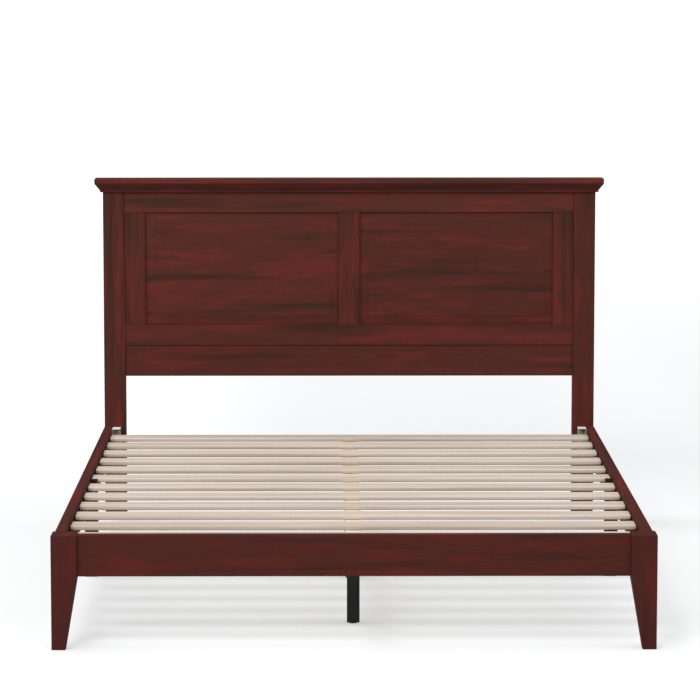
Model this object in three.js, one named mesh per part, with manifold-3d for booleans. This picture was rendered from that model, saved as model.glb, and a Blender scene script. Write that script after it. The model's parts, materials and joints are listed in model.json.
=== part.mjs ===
// Platform bed with a panelled headboard, a low foot rail between tapered legs, side rails and a slatted deck.
// Millimetres. +X is to the right seen from the foot, +Y points to the headboard, +Z is up and the floor is Z = 0.
import * as THREE from "three";
import { mergeVertices } from "three/addons/utils/BufferGeometryUtils.js";
import Module from "manifold-3d";

// Whole bed
const frameWidth = 1606; // over the outer faces of the foot legs
const frameLength = 2080; // front face of the foot legs to the front face of the headboard posts
const frameTop = 308; // top of the rails and foot legs above the floor
const bedHeight = 1114; // top of the headboard cap above the floor

// Fits
const seatGap = 0.3; // between two pieces that seat on each other
const cutOverrun = 2; // how far a cut runs past the face it starts from

// Foot legs, square above and tapered on their two inner faces below the foot rail
const footLegSize = 69;
const footLegTip = 37;
const footLegEase = 4;

// Rails
const railThickness = 25;
const railEase = 2;
const footRailHeight = 112;
const footRailSetback = 10; // behind the front faces of the foot legs
const sideRailHeight = 96;
const sideRailInset = 7; // inside the outer faces of the foot legs

// Stub tenons at the ends of the boards that run between legs or posts
const tenonThickness = 10;
const tenonLength = 18;
const tenonShoulder = 12;

// Headboard posts
const postWidth = 69;
const postDepth = 50;
const postEase = 2;

// Cap board and the moulding under it
const capThickness = 15;
const capOverhang = 25.5; // past the posts at the front and both ends
const capBackOverhang = 5;
const capEase = 1.2;
const mouldingHeight = 29;
const mouldingFillet = 6; // height of the upright strip under the bevel
const mouldingFoot = 8.5; // how far the upright strip stands out from the post

// Headboard frame
const headFrameThickness = 24;
const headFrameRecess = 4; // behind the front faces of the posts
const topRailHeight = 95;
const panelOpeningHeight = 366;
const bottomRailHeight = 66;
const stileWidth = 67;
const centreStileWidth = 67;
const grooveDepth = 9;
const tongueThickness = 6;
const frameBackLip = 12; // wood left behind the panel groove

// Raised panels
const panelThickness = 11;
const panelBevelWidth = 30;
const panelFieldStep = 1; // the small square step round the raised field

// Board under the headboard frame
const lowerBoardHeight = 101;
const lowerBoardThickness = 18;
const lowerBoardRecess = 3; // behind the front face of the headboard frame
const lowerBoardEase = 2;

// Slats
const slatCount = 12;
const slatWidth = 75;
const slatThickness = 13;
const slatEndClearance = 1.5; // between a slat's end and the side rail
const slatDrop = 16; // top of the slats below the top of the rails
const slatEase = 4.5;
const slatCornerRadius = 6;
const slatFootMargin = 42; // from the foot rail to the first slat
const slatHeadMargin = 90; // from the last slat to the headboard posts

// Ledgers that carry the slat ends
const ledgerWidth = 15;
const ledgerHeight = 34;
const ledgerEase = 1.5;
const ledgerEndClearance = 5; // between a ledger's end and the corner bracket

// Square legs at the middle of the side rails, rebated round the rail and under a slat
const sideLegSize = 38;
const sideLegRecess = 7; // outer face behind the outer face of the side rail
const sideLegSlat = 7; // the slat that the legs carry and stand up in front of
const sideLegSlatGap = 1.5; // between a leg and the front edge of that slat
const sideLegTongue = 18; // the part of the leg's depth that stands up in front of the slat
const sideLegDrop = 1; // top of the legs below the top of the slats
const sideLegEase = 1.5;

// Beam under the middle of the slats
const beamWidth = 45;
const beamHeight = 45;
const beamEase = 1.5;
const beamHeadOverrun = 10; // past the last slat

// Steel legs under the beam
const centreLegCount = 3;
const centreLegMargin = 368; // from each end of the frame to the nearest leg
const tubeSize = 35;
const tubeWall = 1.5;
const tubeCornerRadius = 3;
const plateThickness = 3;
const plateWidth = 44;
const plateLength = 100;
const plateCornerRadius = 5;
const plateHoleRadius = 2.5;
const plateHoleInset = 9; // from the plate's edges to a hole's centre

// Plastic end plugs and the levelling glides screwed into them
const plugFlange = 2;
const plugDepth = 20; // inside the tube
const glideThickness = 3.7;
const glideRadius = 12;
const glideEase = 1;
const glideStemRadius = 4;
const glideStemLength = 26;
const stemClearance = 0.3;

// Corner brackets between the side rails and the legs or posts
const bracketThickness = 3;
const bracketRailFlange = 46; // along the rail
const bracketPostFlange = 28; // along the leg or post
const headBracketHeight = 90;
const headBracketTop = 3; // below the top of the side rail
const footBracketHeight = 60;
const footBracketTop = 4; // below the underside of the slats
const bracketScrewRadius = 2.5;
const bracketScrewCount = 2; // in the flange on the rail
const headBoltCount = 2; // in the flange on the post
const footBoltCount = 1; // in the flange on the foot leg

// Socket-head bolts that hold the brackets to the legs and posts
const boltHeadRadius = 9.5;
const boltHeadThickness = 5;
const boltHeadEase = 1;
const boltRadius = 4;
const boltLength = 38;
const boltTip = 1;
const boltHoleClearance = 0.3;
const boltHoleSpare = 4; // empty hole past the tip of the bolt
const boltSocketRadius = 3.6;
const boltSocketDepth = 3.5;
const holeEndMarginShare = 0.22; // of the bracket's height, from its end to the nearer of two holes

// Facets of round shapes
const boltFacets = 20;
const glideFacets = 28;
const holeFacets = 16;
const socketFacets = 6;
const cornerSegments = 3;
const easeSegments = 2;

// Levels and faces that several pieces share
const footRailBottom = frameTop - footRailHeight;
const sideRailBottom = frameTop - sideRailHeight;
const sideRailOuter = frameWidth / 2 - sideRailInset;
const sideRailInner = sideRailOuter - railThickness;
const footRailBack = footRailSetback + railThickness;
const slatTop = frameTop - slatDrop;
const slatBottom = slatTop - slatThickness;
const ledgerTop = slatBottom - seatGap;
const ledgerBottom = ledgerTop - ledgerHeight;
const firstSlat = footRailBack + slatFootMargin + slatWidth / 2;
const lastSlat = frameLength - slatHeadMargin - slatWidth / 2;
const slatPitch = (lastSlat - firstSlat) / (slatCount - 1);
const sideLegStep = firstSlat + (sideLegSlat - 1) * slatPitch - slatWidth / 2 - sideLegSlatGap;
const sideLegFront = sideLegStep - sideLegTongue;
const sideLegBack = sideLegFront + sideLegSize;
const capBottom = bedHeight - capThickness;
const postOuter = sideRailOuter;
const postInner = postOuter - postWidth;
const postTop = capBottom - seatGap;
const mouldingBottom = capBottom - mouldingHeight;
const panelTop = capBottom - topRailHeight;
const panelBottom = panelTop - panelOpeningHeight;
const bottomRailBottom = panelBottom - bottomRailHeight;
const lowerBoardBottom = bottomRailBottom - lowerBoardHeight;
const headFrameFront = headFrameRecess;
const headFrameBack = headFrameFront + headFrameThickness;
const headFrameMiddle = (headFrameFront + headFrameBack) / 2;
const grooveBack = headFrameBack - frameBackLip + seatGap;
const grooveFront = grooveBack - tongueThickness - 2 * seatGap;
const tongueBack = grooveBack - seatGap;
const tongueFront = grooveFront + seatGap;
const stileInner = postInner - stileWidth;
const beamTop = slatBottom - seatGap;
const beamBottom = beamTop - beamHeight;
const plateTop = beamBottom - seatGap;
const tubeTop = plateTop - plateThickness - seatGap;
const plugBottom = glideThickness + seatGap;
const tubeBottom = plugBottom + plugFlange + seatGap;
const tubeInner = tubeSize / 2 - tubeWall;
const boltAcross = sideRailInner - bracketPostFlange / 2 - bracketThickness / 2;
const overallDepth = frameLength + postDepth + capBackOverhang;

const wasm = await Module();
wasm.setup();

// Turns a closed geometry into a solid that can be joined and cut.
function solid(geometry) {
  const bare = geometry.clone();
  bare.deleteAttribute("normal");
  bare.deleteAttribute("uv");
  const merged = mergeVertices(bare);
  return new wasm.Manifold(
    new wasm.Mesh({
      numProp: 3,
      vertProperties: merged.attributes.position.array,
      triVerts: new Uint32Array(merged.index.array),
    }),
  );
}

// Turns a solid back into a geometry.
function geometryOf(body) {
  const mesh = body.getMesh();
  const geometry = new THREE.BufferGeometry();
  geometry.setAttribute("position", new THREE.BufferAttribute(mesh.vertProperties, 3));
  geometry.setIndex(new THREE.BufferAttribute(mesh.triVerts, 1));
  geometry.computeVertexNormals();
  return geometry;
}

function outline(points) {
  return new THREE.Shape(points.map(([across, up]) => new THREE.Vector2(across, up)));
}

function rectangle(left, right, low, high) {
  return [
    [left, low],
    [right, low],
    [right, high],
    [left, high],
  ];
}

// A rectangle between two corners with its own corners cut at 45 degrees.
function easedRectangle(left, right, low, high, ease) {
  return [
    [left + ease, low],
    [right - ease, low],
    [right, low + ease],
    [right, high - ease],
    [right - ease, high],
    [left + ease, high],
    [left, high - ease],
    [left, low + ease],
  ];
}

// A rectangle centred on the origin with round corners.
function roundedRectangle(width, height, radius, shape = new THREE.Shape()) {
  const x = width / 2 - radius;
  const y = height / 2 - radius;
  shape.absarc(x, y, radius, 0, Math.PI / 2, false);
  shape.absarc(-x, y, radius, Math.PI / 2, Math.PI, false);
  shape.absarc(-x, -y, radius, Math.PI, Math.PI * 1.5, false);
  shape.absarc(x, -y, radius, Math.PI * 1.5, Math.PI * 2, false);
  shape.closePath();
  return shape;
}

function extruded(shape, length) {
  return new THREE.ExtrudeGeometry(shape, { depth: length, bevelEnabled: false, curveSegments: cornerSegments });
}

const xAxis = new THREE.Vector3(1, 0, 0);
const yAxis = new THREE.Vector3(0, 1, 0);
const zAxis = new THREE.Vector3(0, 0, 1);

// A prism along X whose outline is given as (y, z).
function alongX(points, from, to) {
  const geometry = extruded(outline(points), to - from);
  geometry.applyMatrix4(new THREE.Matrix4().makeBasis(yAxis, zAxis, xAxis));
  return geometry.translate(from, 0, 0);
}

// A prism along Y whose outline is given as (x, z).
function alongY(points, from, to) {
  const turned = points.map(([x, z]) => [z, x]);
  const geometry = extruded(outline(turned), to - from);
  geometry.applyMatrix4(new THREE.Matrix4().makeBasis(zAxis, xAxis, yAxis));
  return geometry.translate(0, from, 0);
}

// A prism along Z whose outline is given as (x, y).
function alongZ(points, from, to) {
  return extruded(outline(points), to - from).translate(0, 0, from);
}

function block(low, high) {
  const size = high.map((value, axis) => value - low[axis]);
  const middle = high.map((value, axis) => (value + low[axis]) / 2);
  return new THREE.BoxGeometry(...size).translate(...middle);
}

// A round bar along Y between two places, for holes and sockets.
function barAlongY(radius, facets, x, z, from, to) {
  return new THREE.CylinderGeometry(radius, radius, to - from, facets).translate(x, (from + to) / 2, z);
}

// A round bar along X between two places.
function barAlongX(radius, facets, y, z, from, to) {
  const bar = new THREE.CylinderGeometry(radius, radius, to - from, facets).rotateZ(Math.PI / 2);
  return bar.translate((from + to) / 2, y, z);
}

// Finishes: the stained wood of the frame, the bare wood of the deck, and the metal and plastic of the fittings.
function finish(colour, roughness, metalness) {
  return new THREE.MeshStandardMaterial({ color: colour, roughness, metalness });
}

const stainedWood = () => finish(0x552c27, 0.45, 0);
const bareWood = () => finish(0xe2d3c6, 0.7, 0);
const beamWood = () => finish(0xd9bf9d, 0.7, 0);
const blackSteel = () => finish(0x242424, 0.5, 0.4);
const zincSteel = () => finish(0xb9b9b4, 0.35, 0.9);
const blackPlastic = () => finish(0x1c1c1c, 0.6, 0);

function addPiece(parent, name, geometry, material, x = 0, y = 0, z = 0) {
  const mesh = new THREE.Mesh(geometry, material);
  mesh.name = name;
  mesh.position.set(x, y, z);
  parent.add(mesh);
  return mesh;
}

function addGroup(parent, x, y, z) {
  const group = new THREE.Group();
  group.position.set(x, y, z);
  parent.add(group);
  return group;
}

const sides = [
  { word: "left", sign: -1 },
  { word: "right", sign: 1 },
];

// The span of a pair of numbers that may come in either order, as a mirrored piece gives them.
function ordered(first, second) {
  return [Math.min(first, second), Math.max(first, second)];
}

// The tenon of a board: from its shoulder at the leg or post into the wood, along X.
function tenon(sign, shoulder, middle, low, high) {
  const [left, right] = ordered(sign * (shoulder - cutOverrun), sign * (shoulder + tenonLength));
  const back = middle + tenonThickness / 2;
  const front = middle - tenonThickness / 2;
  return block([left, front, low + tenonShoulder], [right, back, high - tenonShoulder]);
}

// The mortise that a tenon fits, larger by the seat gap all round.
function mortise(sign, face, middle, low, high) {
  const [left, right] = ordered(sign * (face - cutOverrun), sign * (face + tenonLength + seatGap));
  const back = middle + tenonThickness / 2 + seatGap;
  const front = middle - tenonThickness / 2 - seatGap;
  const bottom = low + tenonShoulder - seatGap;
  const top = high - tenonShoulder + seatGap;
  return block([left, front, bottom], [right, back, top]);
}

function withTenons(board, shoulder, middle, low, high) {
  const left = solid(tenon(-1, shoulder, middle, low, high));
  const right = solid(tenon(1, shoulder, middle, low, high));
  return geometryOf(solid(board).add(left).add(right));
}

// Heights of a corner bracket's holes: one in the middle, or a pair set in from the ends.
function holeHeights(bottom, height, count) {
  if (count === 1) return [bottom + height / 2];
  const margin = height * holeEndMarginShare;
  return [bottom + margin, bottom + height - margin];
}

const headBracketBottom = frameTop - headBracketTop - headBracketHeight;
const footBracketBottom = slatBottom - footBracketTop - footBracketHeight;
const headBoltHeights = holeHeights(headBracketBottom, headBracketHeight, headBoltCount);
const footBoltHeights = holeHeights(footBracketBottom, footBracketHeight, footBoltCount);
const boltHoleDepth = boltLength - bracketThickness - seatGap + boltHoleSpare;

// A foot leg, where the outer and front faces are upright and the two inner faces taper to the floor.
function footLeg(sign) {
  const outer = frameWidth / 2;
  const frontView = [
    [sign * outer, 0],
    [sign * (outer - footLegTip), 0],
    [sign * (outer - footLegSize), footRailBottom],
    [sign * (outer - footLegSize), frameTop - footLegEase],
    [sign * (outer - footLegSize + footLegEase), frameTop],
    [sign * (outer - footLegEase), frameTop],
    [sign * outer, frameTop - footLegEase],
  ];
  const sideView = [
    [0, 0],
    [footLegTip, 0],
    [footLegSize, footRailBottom],
    [footLegSize, frameTop - footLegEase],
    [footLegSize - footLegEase, frameTop],
    [footLegEase, frameTop],
    [0, frameTop - footLegEase],
  ];
  const [left, right] = ordered(sign * (outer - footLegSize - cutOverrun), sign * (outer + cutOverrun));
  let leg = solid(alongY(frontView, 0, footLegSize)).intersect(solid(alongX(sideView, left, right)));
  const railMiddle = footRailSetback + railThickness / 2;
  leg = leg.subtract(solid(mortise(sign, outer - footLegSize, railMiddle, footRailBottom, frameTop)));
  for (const height of footBoltHeights) {
    const from = footLegSize - boltHoleDepth;
    const radius = boltRadius + boltHoleClearance;
    const hole = barAlongY(radius, holeFacets, sign * boltAcross, height, from, footLegSize + cutOverrun);
    leg = leg.subtract(solid(hole));
  }
  return geometryOf(leg);
}

// The foot rail, tenoned into both foot legs.
function footRail() {
  const shoulder = frameWidth / 2 - footLegSize - seatGap;
  const section = easedRectangle(0, railThickness, footRailBottom, frameTop, railEase);
  const board = alongX(section, -shoulder, shoulder);
  return withTenons(board, shoulder, railThickness / 2, footRailBottom, frameTop);
}

// A side rail, a plain board between a foot leg and a headboard post.
function sideRail() {
  const half = railThickness / 2;
  const section = easedRectangle(-half, half, sideRailBottom, frameTop, railEase);
  return alongY(section, footLegSize + seatGap, frameLength - seatGap);
}

// A ledger, the strip inside a side rail that the slat ends lie on, cut in two by the side leg.
function ledger(from, to) {
  const section = easedRectangle(-ledgerWidth / 2, ledgerWidth / 2, ledgerBottom, ledgerTop, ledgerEase);
  return alongY(section, from, to);
}

// A square side leg, with one rebate that takes the rail and another that carries a slat.
function sideLeg(sign) {
  const outer = sideRailOuter - sideLegRecess;
  const inner = outer - sideLegSize;
  const shoulder = sideRailBottom - seatGap;
  const tongueFace = sideRailInner - seatGap;
  const tongueTop = slatTop - sideLegDrop;
  const frontView = [
    [sign * (inner + sideLegEase), 0],
    [sign * (outer - sideLegEase), 0],
    [sign * outer, sideLegEase],
    [sign * outer, shoulder],
    [sign * tongueFace, shoulder],
    [sign * tongueFace, tongueTop],
    [sign * inner, tongueTop],
    [sign * inner, sideLegEase],
  ];
  const sideView = [
    [sideLegFront + sideLegEase, 0],
    [sideLegBack - sideLegEase, 0],
    [sideLegBack, sideLegEase],
    [sideLegBack, ledgerTop],
    [sideLegStep, ledgerTop],
    [sideLegStep, tongueTop],
    [sideLegFront, tongueTop],
    [sideLegFront, sideLegEase],
  ];
  const [left, right] = ordered(sign * (inner - cutOverrun), sign * (outer + cutOverrun));
  const column = solid(alongY(frontView, sideLegFront, sideLegBack));
  return geometryOf(column.intersect(solid(alongX(sideView, left, right))));
}

// A headboard post with its mortises for the three boards and its bolt holes for the corner bracket.
function headboardPost(sign) {
  const plan = easedRectangle(...ordered(sign * postInner, sign * postOuter), 0, postDepth, postEase);
  let post = solid(alongZ(plan, 0, postTop));
  const boards = [
    [panelTop, postTop],
    [bottomRailBottom, panelBottom],
    [lowerBoardBottom, bottomRailBottom - seatGap],
  ];
  for (const [low, high] of boards) {
    post = post.subtract(solid(mortise(sign, postInner, headFrameMiddle, low, high)));
  }
  for (const height of headBoltHeights) {
    const radius = boltRadius + boltHoleClearance;
    const hole = barAlongY(radius, holeFacets, sign * boltAcross, height, -cutOverrun, boltHoleDepth);
    post = post.subtract(solid(hole));
  }
  return geometryOf(post);
}

// The cap board with all its edges eased.
function capBoard() {
  const side = postOuter + capOverhang - capEase;
  const front = capEase - capOverhang;
  const back = postDepth + capBackOverhang - capEase;
  const geometry = new THREE.ExtrudeGeometry(outline(rectangle(-side, side, front, back)), {
    depth: capThickness - 2 * capEase,
    bevelThickness: capEase,
    bevelSize: capEase,
    bevelSegments: easeSegments,
  });
  return geometry.translate(0, 0, capBottom + capEase);
}

// The section of the cap moulding as (distance out from the post, height).
function mouldingSection() {
  return [
    [seatGap, mouldingBottom],
    [mouldingFoot, mouldingBottom],
    [mouldingFoot, mouldingBottom + mouldingFillet],
    [capOverhang, capBottom - seatGap],
    [seatGap, capBottom - seatGap],
  ];
}

// The moulding along the front, mitred at both ends.
function frontMoulding() {
  const end = postOuter + capOverhang;
  const section = mouldingSection().map(([out, height]) => [-out, height]);
  const plan = [
    [-postOuter - seatGap, -seatGap],
    [-end, -capOverhang],
    [end, -capOverhang],
    [postOuter + seatGap, -seatGap],
  ];
  const strip = solid(alongX(section, -end, end));
  return geometryOf(strip.intersect(solid(alongZ(plan, mouldingBottom, capBottom))));
}

// The moulding along one end of the headboard, mitred to the front one.
function endMoulding(sign) {
  const mitreGap = seatGap * Math.SQRT2;
  const section = mouldingSection().map(([out, height]) => [sign * (postOuter + out), height]);
  const plan = [
    [sign * (postOuter + seatGap), mitreGap - seatGap],
    [sign * (postOuter + capOverhang), mitreGap - capOverhang],
    [sign * (postOuter + capOverhang), postDepth],
    [sign * (postOuter + seatGap), postDepth],
  ];
  const strip = solid(alongY(section, -capOverhang, postDepth));
  return geometryOf(strip.intersect(solid(alongZ(plan, mouldingBottom, capBottom))));
}

const boardShoulder = postInner - seatGap;

// The top rail of the headboard frame, grooved underneath for the panels.
function topRail() {
  const section = [
    [headFrameFront, panelTop],
    [grooveFront, panelTop],
    [grooveFront, panelTop + grooveDepth],
    [grooveBack, panelTop + grooveDepth],
    [grooveBack, panelTop],
    [headFrameBack, panelTop],
    [headFrameBack, postTop],
    [headFrameFront, postTop],
  ];
  const board = alongX(section, -boardShoulder, boardShoulder);
  return withTenons(board, boardShoulder, headFrameMiddle, panelTop, postTop);
}

// The bottom rail of the headboard frame, grooved above for the panels and below for the lower board.
function bottomRail() {
  const section = [
    [headFrameFront, bottomRailBottom],
    [grooveFront, bottomRailBottom],
    [grooveFront, bottomRailBottom + grooveDepth],
    [grooveBack, bottomRailBottom + grooveDepth],
    [grooveBack, bottomRailBottom],
    [headFrameBack, bottomRailBottom],
    [headFrameBack, panelBottom],
    [grooveBack, panelBottom],
    [grooveBack, panelBottom - grooveDepth],
    [grooveFront, panelBottom - grooveDepth],
    [grooveFront, panelBottom],
    [headFrameFront, panelBottom],
  ];
  const board = alongX(section, -boardShoulder, boardShoulder);
  return withTenons(board, boardShoulder, headFrameMiddle, bottomRailBottom, panelBottom);
}

// The tongues that a stile has at both ends, in the grooves of the rails.
function withStubTongues(stile, left, right) {
  const low = panelBottom - grooveDepth + seatGap;
  const high = panelTop + grooveDepth - seatGap;
  const tongue = block([left, tongueFront, low], [right, tongueBack, high]);
  return geometryOf(stile.add(solid(tongue)));
}

// An outer stile, grooved towards its panel.
function outerStile(sign) {
  const plan = [
    [sign * boardShoulder, headFrameFront],
    [sign * stileInner, headFrameFront],
    [sign * stileInner, grooveFront],
    [sign * (stileInner + grooveDepth), grooveFront],
    [sign * (stileInner + grooveDepth), grooveBack],
    [sign * stileInner, grooveBack],
    [sign * stileInner, headFrameBack],
    [sign * boardShoulder, headFrameBack],
  ];
  const stile = solid(alongZ(plan, panelBottom + seatGap, panelTop - seatGap));
  const [left, right] = ordered(sign * (stileInner + grooveDepth), sign * boardShoulder);
  return withStubTongues(stile, left, right);
}

// The stile between the two panels, grooved on both sides.
function centreStile() {
  const half = centreStileWidth / 2;
  const plan = [
    [-half, headFrameFront],
    [half, headFrameFront],
    [half, grooveFront],
    [half - grooveDepth, grooveFront],
    [half - grooveDepth, grooveBack],
    [half, grooveBack],
    [half, headFrameBack],
    [-half, headFrameBack],
    [-half, grooveBack],
    [-half + grooveDepth, grooveBack],
    [-half + grooveDepth, grooveFront],
    [-half, grooveFront],
  ];
  const stile = solid(alongZ(plan, panelBottom + seatGap, panelTop - seatGap));
  return withStubTongues(stile, grooveDepth - half, half - grooveDepth);
}

// One section of a raised panel as (place across the opening, depth), flat behind and bevelled in front.
function panelSection(low, high) {
  const reach = grooveDepth - seatGap;
  const fieldFront = tongueBack - panelThickness;
  const bevelFront = fieldFront + panelFieldStep;
  return [
    [low - reach, tongueFront],
    [low, tongueFront],
    [low + panelBevelWidth, bevelFront],
    [low + panelBevelWidth, fieldFront],
    [high - panelBevelWidth, fieldFront],
    [high - panelBevelWidth, bevelFront],
    [high, tongueFront],
    [high + reach, tongueFront],
    [high + reach, tongueBack],
    [low - reach, tongueBack],
  ];
}

// A raised panel: where its two sections cross, the bevels meet in mitred corners.
function raisedPanel(sign) {
  const [left, right] = ordered((sign * centreStileWidth) / 2, sign * stileInner);
  const plan = panelSection(left, right);
  const side = panelSection(panelBottom, panelTop).map(([height, depth]) => [depth, height]);
  const across = solid(alongZ(plan, panelBottom - grooveDepth, panelTop + grooveDepth));
  return geometryOf(across.intersect(solid(alongX(side, left - grooveDepth, right + grooveDepth))));
}

// The board under the headboard frame, with a tongue along its top edge.
function lowerBoard() {
  const front = headFrameFront + lowerBoardRecess;
  const back = front + lowerBoardThickness;
  const top = bottomRailBottom - seatGap;
  const tongueTop = bottomRailBottom + grooveDepth - seatGap;
  const section = [
    [front + lowerBoardEase, lowerBoardBottom],
    [back, lowerBoardBottom],
    [back, top],
    [tongueBack, top],
    [tongueBack, tongueTop],
    [tongueFront, tongueTop],
    [tongueFront, top],
    [front, top],
    [front, lowerBoardBottom + lowerBoardEase],
  ];
  const board = alongX(section, -boardShoulder, boardShoulder);
  return withTenons(board, boardShoulder, headFrameMiddle, lowerBoardBottom, top);
}

// A slat with round corners and eased edges, its top at Z = 0.
function slat() {
  const length = 2 * (sideRailInner - slatEndClearance - slatEase);
  const width = slatWidth - 2 * slatEase;
  const shape = roundedRectangle(length, width, slatCornerRadius - slatEase);
  const geometry = new THREE.ExtrudeGeometry(shape, {
    depth: slatThickness - 2 * slatEase,
    bevelThickness: slatEase,
    bevelSize: slatEase,
    bevelSegments: cornerSegments,
    curveSegments: easeSegments,
  });
  return geometry.translate(0, 0, slatEase - slatThickness);
}

// The beam along the middle of the deck, from the foot rail to past the last slat.
function centreBeam() {
  const section = easedRectangle(-beamWidth / 2, beamWidth / 2, beamBottom, beamTop, beamEase);
  const to = frameLength - slatHeadMargin + beamHeadOverrun;
  return alongY(section, footRailBack + seatGap, to);
}

// The square tube of a centre leg.
function centreLegTube() {
  const shape = roundedRectangle(tubeSize, tubeSize, tubeCornerRadius);
  const bore = 2 * tubeInner;
  shape.holes.push(roundedRectangle(bore, bore, tubeCornerRadius - tubeWall, new THREE.Path()));
  return extruded(shape, tubeTop - tubeBottom);
}

// The plate that a centre leg is screwed to the beam with.
function centreLegPlate() {
  const shape = roundedRectangle(plateWidth, plateLength, plateCornerRadius);
  const x = plateWidth / 2 - plateHoleInset;
  const y = plateLength / 2 - plateHoleInset;
  for (const [signX, signY] of [[1, 1], [1, -1], [-1, 1], [-1, -1]]) {
    const hole = new THREE.Path();
    hole.absarc(signX * x, signY * y, plateHoleRadius, 0, Math.PI * 2, false);
    shape.holes.push(hole);
  }
  return new THREE.ExtrudeGeometry(shape, { depth: plateThickness, bevelEnabled: false, curveSegments: holeFacets });
}

// The plug in a tube's lower end, flanged below and bored for the glide's stem.
function centreLegPlug() {
  const flange = extruded(roundedRectangle(tubeSize, tubeSize, tubeCornerRadius), plugFlange);
  const inside = 2 * (tubeInner - seatGap);
  const insert = extruded(roundedRectangle(inside, inside, tubeCornerRadius - tubeWall), plugFlange + plugDepth);
  const bore = new THREE.CylinderGeometry(
    glideStemRadius + stemClearance,
    glideStemRadius + stemClearance,
    2 * (plugFlange + plugDepth) + cutOverrun,
    holeFacets,
  ).rotateX(Math.PI / 2);
  return geometryOf(solid(flange).add(solid(insert)).subtract(solid(bore)));
}

// A body turned about its own axis from a profile of (radius, place along the axis), which stands along Y.
function turned(points, facets) {
  return new THREE.LatheGeometry(points.map(([radius, place]) => new THREE.Vector2(radius, place)), facets);
}

// A levelling glide: a round foot and the stem that screws into the plug.
function levellingGlide() {
  const profile = [
    [0, 0],
    [glideRadius - glideEase, 0],
    [glideRadius, glideEase],
    [glideRadius, glideThickness],
    [glideStemRadius, glideThickness],
    [glideStemRadius, glideThickness + glideStemLength],
    [0, glideThickness + glideStemLength],
  ];
  return turned(profile, glideFacets).rotateX(Math.PI / 2);
}

// A corner bracket: one flange on the side rail, one on the leg or post, and a web that closes the top.
// Its corner is at the origin, X runs in from the rail and Y along the rail.
function cornerBracket(signX, signY, height, boltPlaces) {
  const railFace = seatGap;
  const postFace = seatGap;
  const angle = [
    [signX * railFace, signY * postFace],
    [signX * bracketPostFlange, signY * postFace],
    [signX * bracketPostFlange, signY * (postFace + bracketThickness)],
    [signX * (railFace + bracketThickness), signY * (postFace + bracketThickness)],
    [signX * (railFace + bracketThickness), signY * bracketRailFlange],
    [signX * railFace, signY * bracketRailFlange],
  ];
  const web = rectangle(signX * railFace, signX * bracketPostFlange, signY * postFace, signY * bracketRailFlange);
  let bracket = solid(alongZ(angle, 0, height)).add(solid(alongZ(web, height - bracketThickness, height)));
  const boltHole = boltRadius + boltHoleClearance;
  const across = signX * (sideRailInner - boltAcross);
  const [near, far] = ordered(-signY * cutOverrun, signY * (bracketThickness + cutOverrun));
  const [left, right] = ordered(-signX * cutOverrun, signX * (bracketThickness + cutOverrun));
  const screwPlace = (signY * (bracketRailFlange + bracketThickness)) / 2;
  for (const place of boltPlaces) {
    bracket = bracket.subtract(solid(barAlongY(boltHole, holeFacets, across, place, near, far)));
  }
  for (const place of holeHeights(0, height, bracketScrewCount)) {
    bracket = bracket.subtract(solid(barAlongX(bracketScrewRadius, holeFacets, screwPlace, place, left, right)));
  }
  return geometryOf(bracket);
}

// A bolt along Y: its head is below Y = 0 with the socket in it, and its shank runs up.
function bracketBolt() {
  const profile = [
    [0, -boltHeadThickness],
    [boltHeadRadius - boltHeadEase, -boltHeadThickness],
    [boltHeadRadius, boltHeadEase - boltHeadThickness],
    [boltHeadRadius, 0],
    [boltRadius, 0],
    [boltRadius, boltLength - boltTip],
    [boltRadius - boltTip, boltLength],
    [0, boltLength],
  ];
  const socketTo = boltSocketDepth - boltHeadThickness;
  const socket = barAlongY(boltSocketRadius, socketFacets, 0, 0, -boltHeadThickness - cutOverrun, socketTo);
  return geometryOf(solid(turned(profile, boltFacets)).subtract(solid(socket)));
}

// Adds a bracket and its two bolts at one corner of the frame.
function addCorner(parent, word, signX, y, signY, bottom, height, heights) {
  const corner = addGroup(parent, -signX * sideRailInner, y, bottom);
  const places = heights.map((value) => value - bottom);
  const bracket = cornerBracket(signX, signY, height, places);
  addPiece(corner, `corner_bracket_${word}`, bracket, zincSteel());
  places.forEach((place, index) => {
    const x = signX * (sideRailInner - boltAcross);
    const seat = signY * (2 * seatGap + bracketThickness);
    const bolt = addPiece(corner, `bracket_bolt_${word}_${index + 1}`, bracketBolt(), zincSteel(), x, seat, place);
    if (signY > 0) bolt.rotation.set(Math.PI, 0, 0);
  });
}

function addHeadboard(parent) {
  const headboard = addGroup(parent, 0, frameLength, 0);
  for (const { word, sign } of sides) {
    addPiece(headboard, `headboard_post_${word}`, headboardPost(sign), stainedWood());
    addPiece(headboard, `headboard_stile_${word}`, outerStile(sign), stainedWood());
    addPiece(headboard, `headboard_panel_${word}`, raisedPanel(sign), stainedWood());
    addPiece(headboard, `cap_moulding_${word}`, endMoulding(sign), stainedWood());
  }
  addPiece(headboard, "headboard_centre_stile", centreStile(), stainedWood());
  addPiece(headboard, "headboard_top_rail", topRail(), stainedWood());
  addPiece(headboard, "headboard_bottom_rail", bottomRail(), stainedWood());
  addPiece(headboard, "headboard_lower_board", lowerBoard(), stainedWood());
  addPiece(headboard, "cap_moulding_front", frontMoulding(), stainedWood());
  addPiece(headboard, "headboard_cap", capBoard(), stainedWood());
}

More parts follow.
